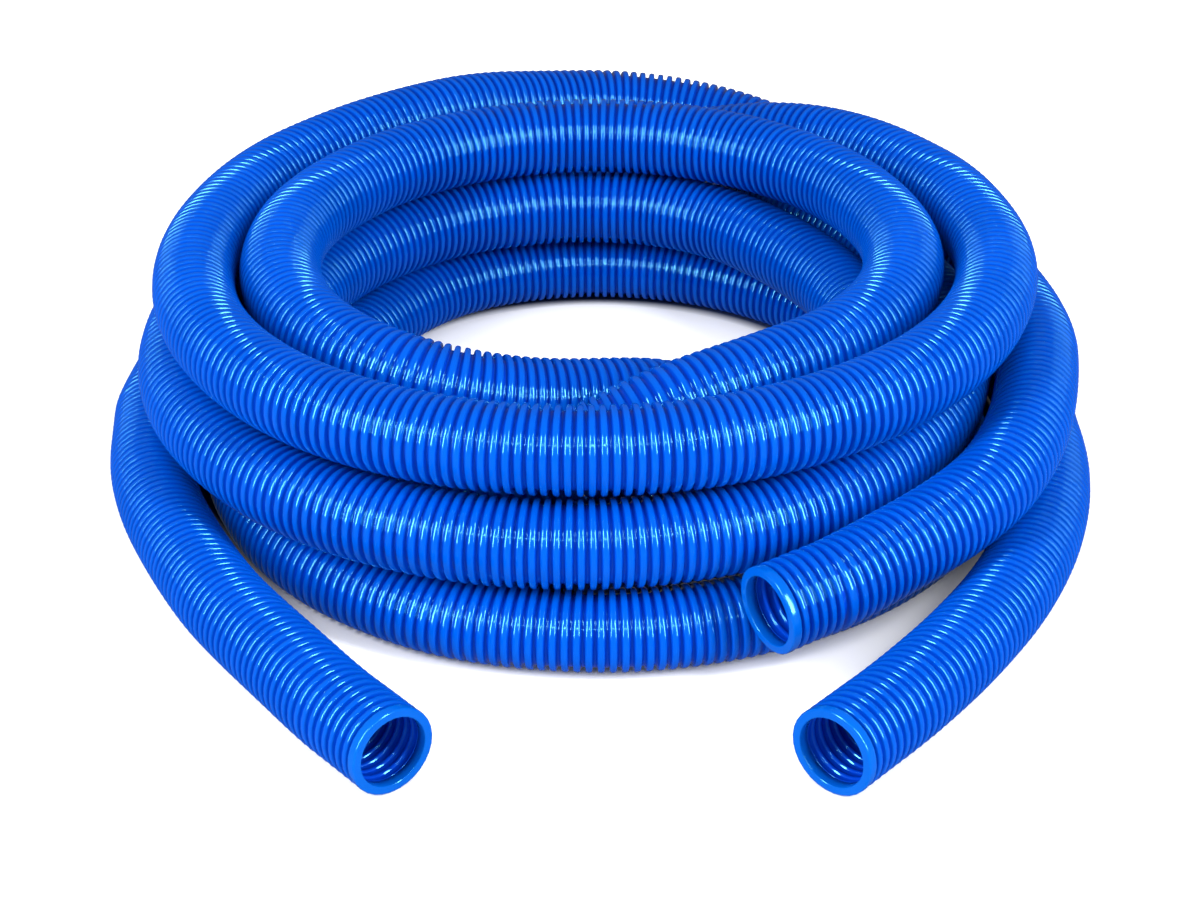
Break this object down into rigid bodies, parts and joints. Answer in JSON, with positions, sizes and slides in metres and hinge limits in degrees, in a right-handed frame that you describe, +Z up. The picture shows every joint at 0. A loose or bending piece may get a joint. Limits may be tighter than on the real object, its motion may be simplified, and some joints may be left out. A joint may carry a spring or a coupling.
{
  "type": "pool vacuum hose",
  "caption": "Coiled ribbed suction hose for pool and spa cleaning, with plain cuffs at its open ends, lying on a short length of the same hose.",
  "frame": {"origin": "on the floor, at the middle of the footprint", "axes": "+Z up; +Y away from the side where the open ends lie; +X to the right seen from that side"},
  "size_m": [0.5738, 0.6967, 0.1386],
  "materials": {
    "hose_plastic": "gloss, ribbed",
    "cuff_plastic": "gloss, smooth"
  },
  "bodies": {
    "short_hose": {"short_hose_left_cuff": "cuff_plastic", "short_hose_left_end": "hose_plastic", "short_hose_turns": "hose_plastic", "short_hose_right_end": "hose_plastic", "short_hose_right_cuff": "cuff_plastic"},
    "long_hose": {"long_hose_free_cuff": "cuff_plastic", "long_hose_free_end": "hose_plastic", "long_hose_turns": "hose_plastic", "long_hose_tucked_end": "hose_plastic", "long_hose_tucked_cuff": "cuff_plastic"}
  },
  "joints": [
    {"name": "lift_off", "type": "slide", "parent": "short_hose", "child": "long_hose", "axis": [0, 0, 1], "range_m": [0, 0.2]}
  ]
}
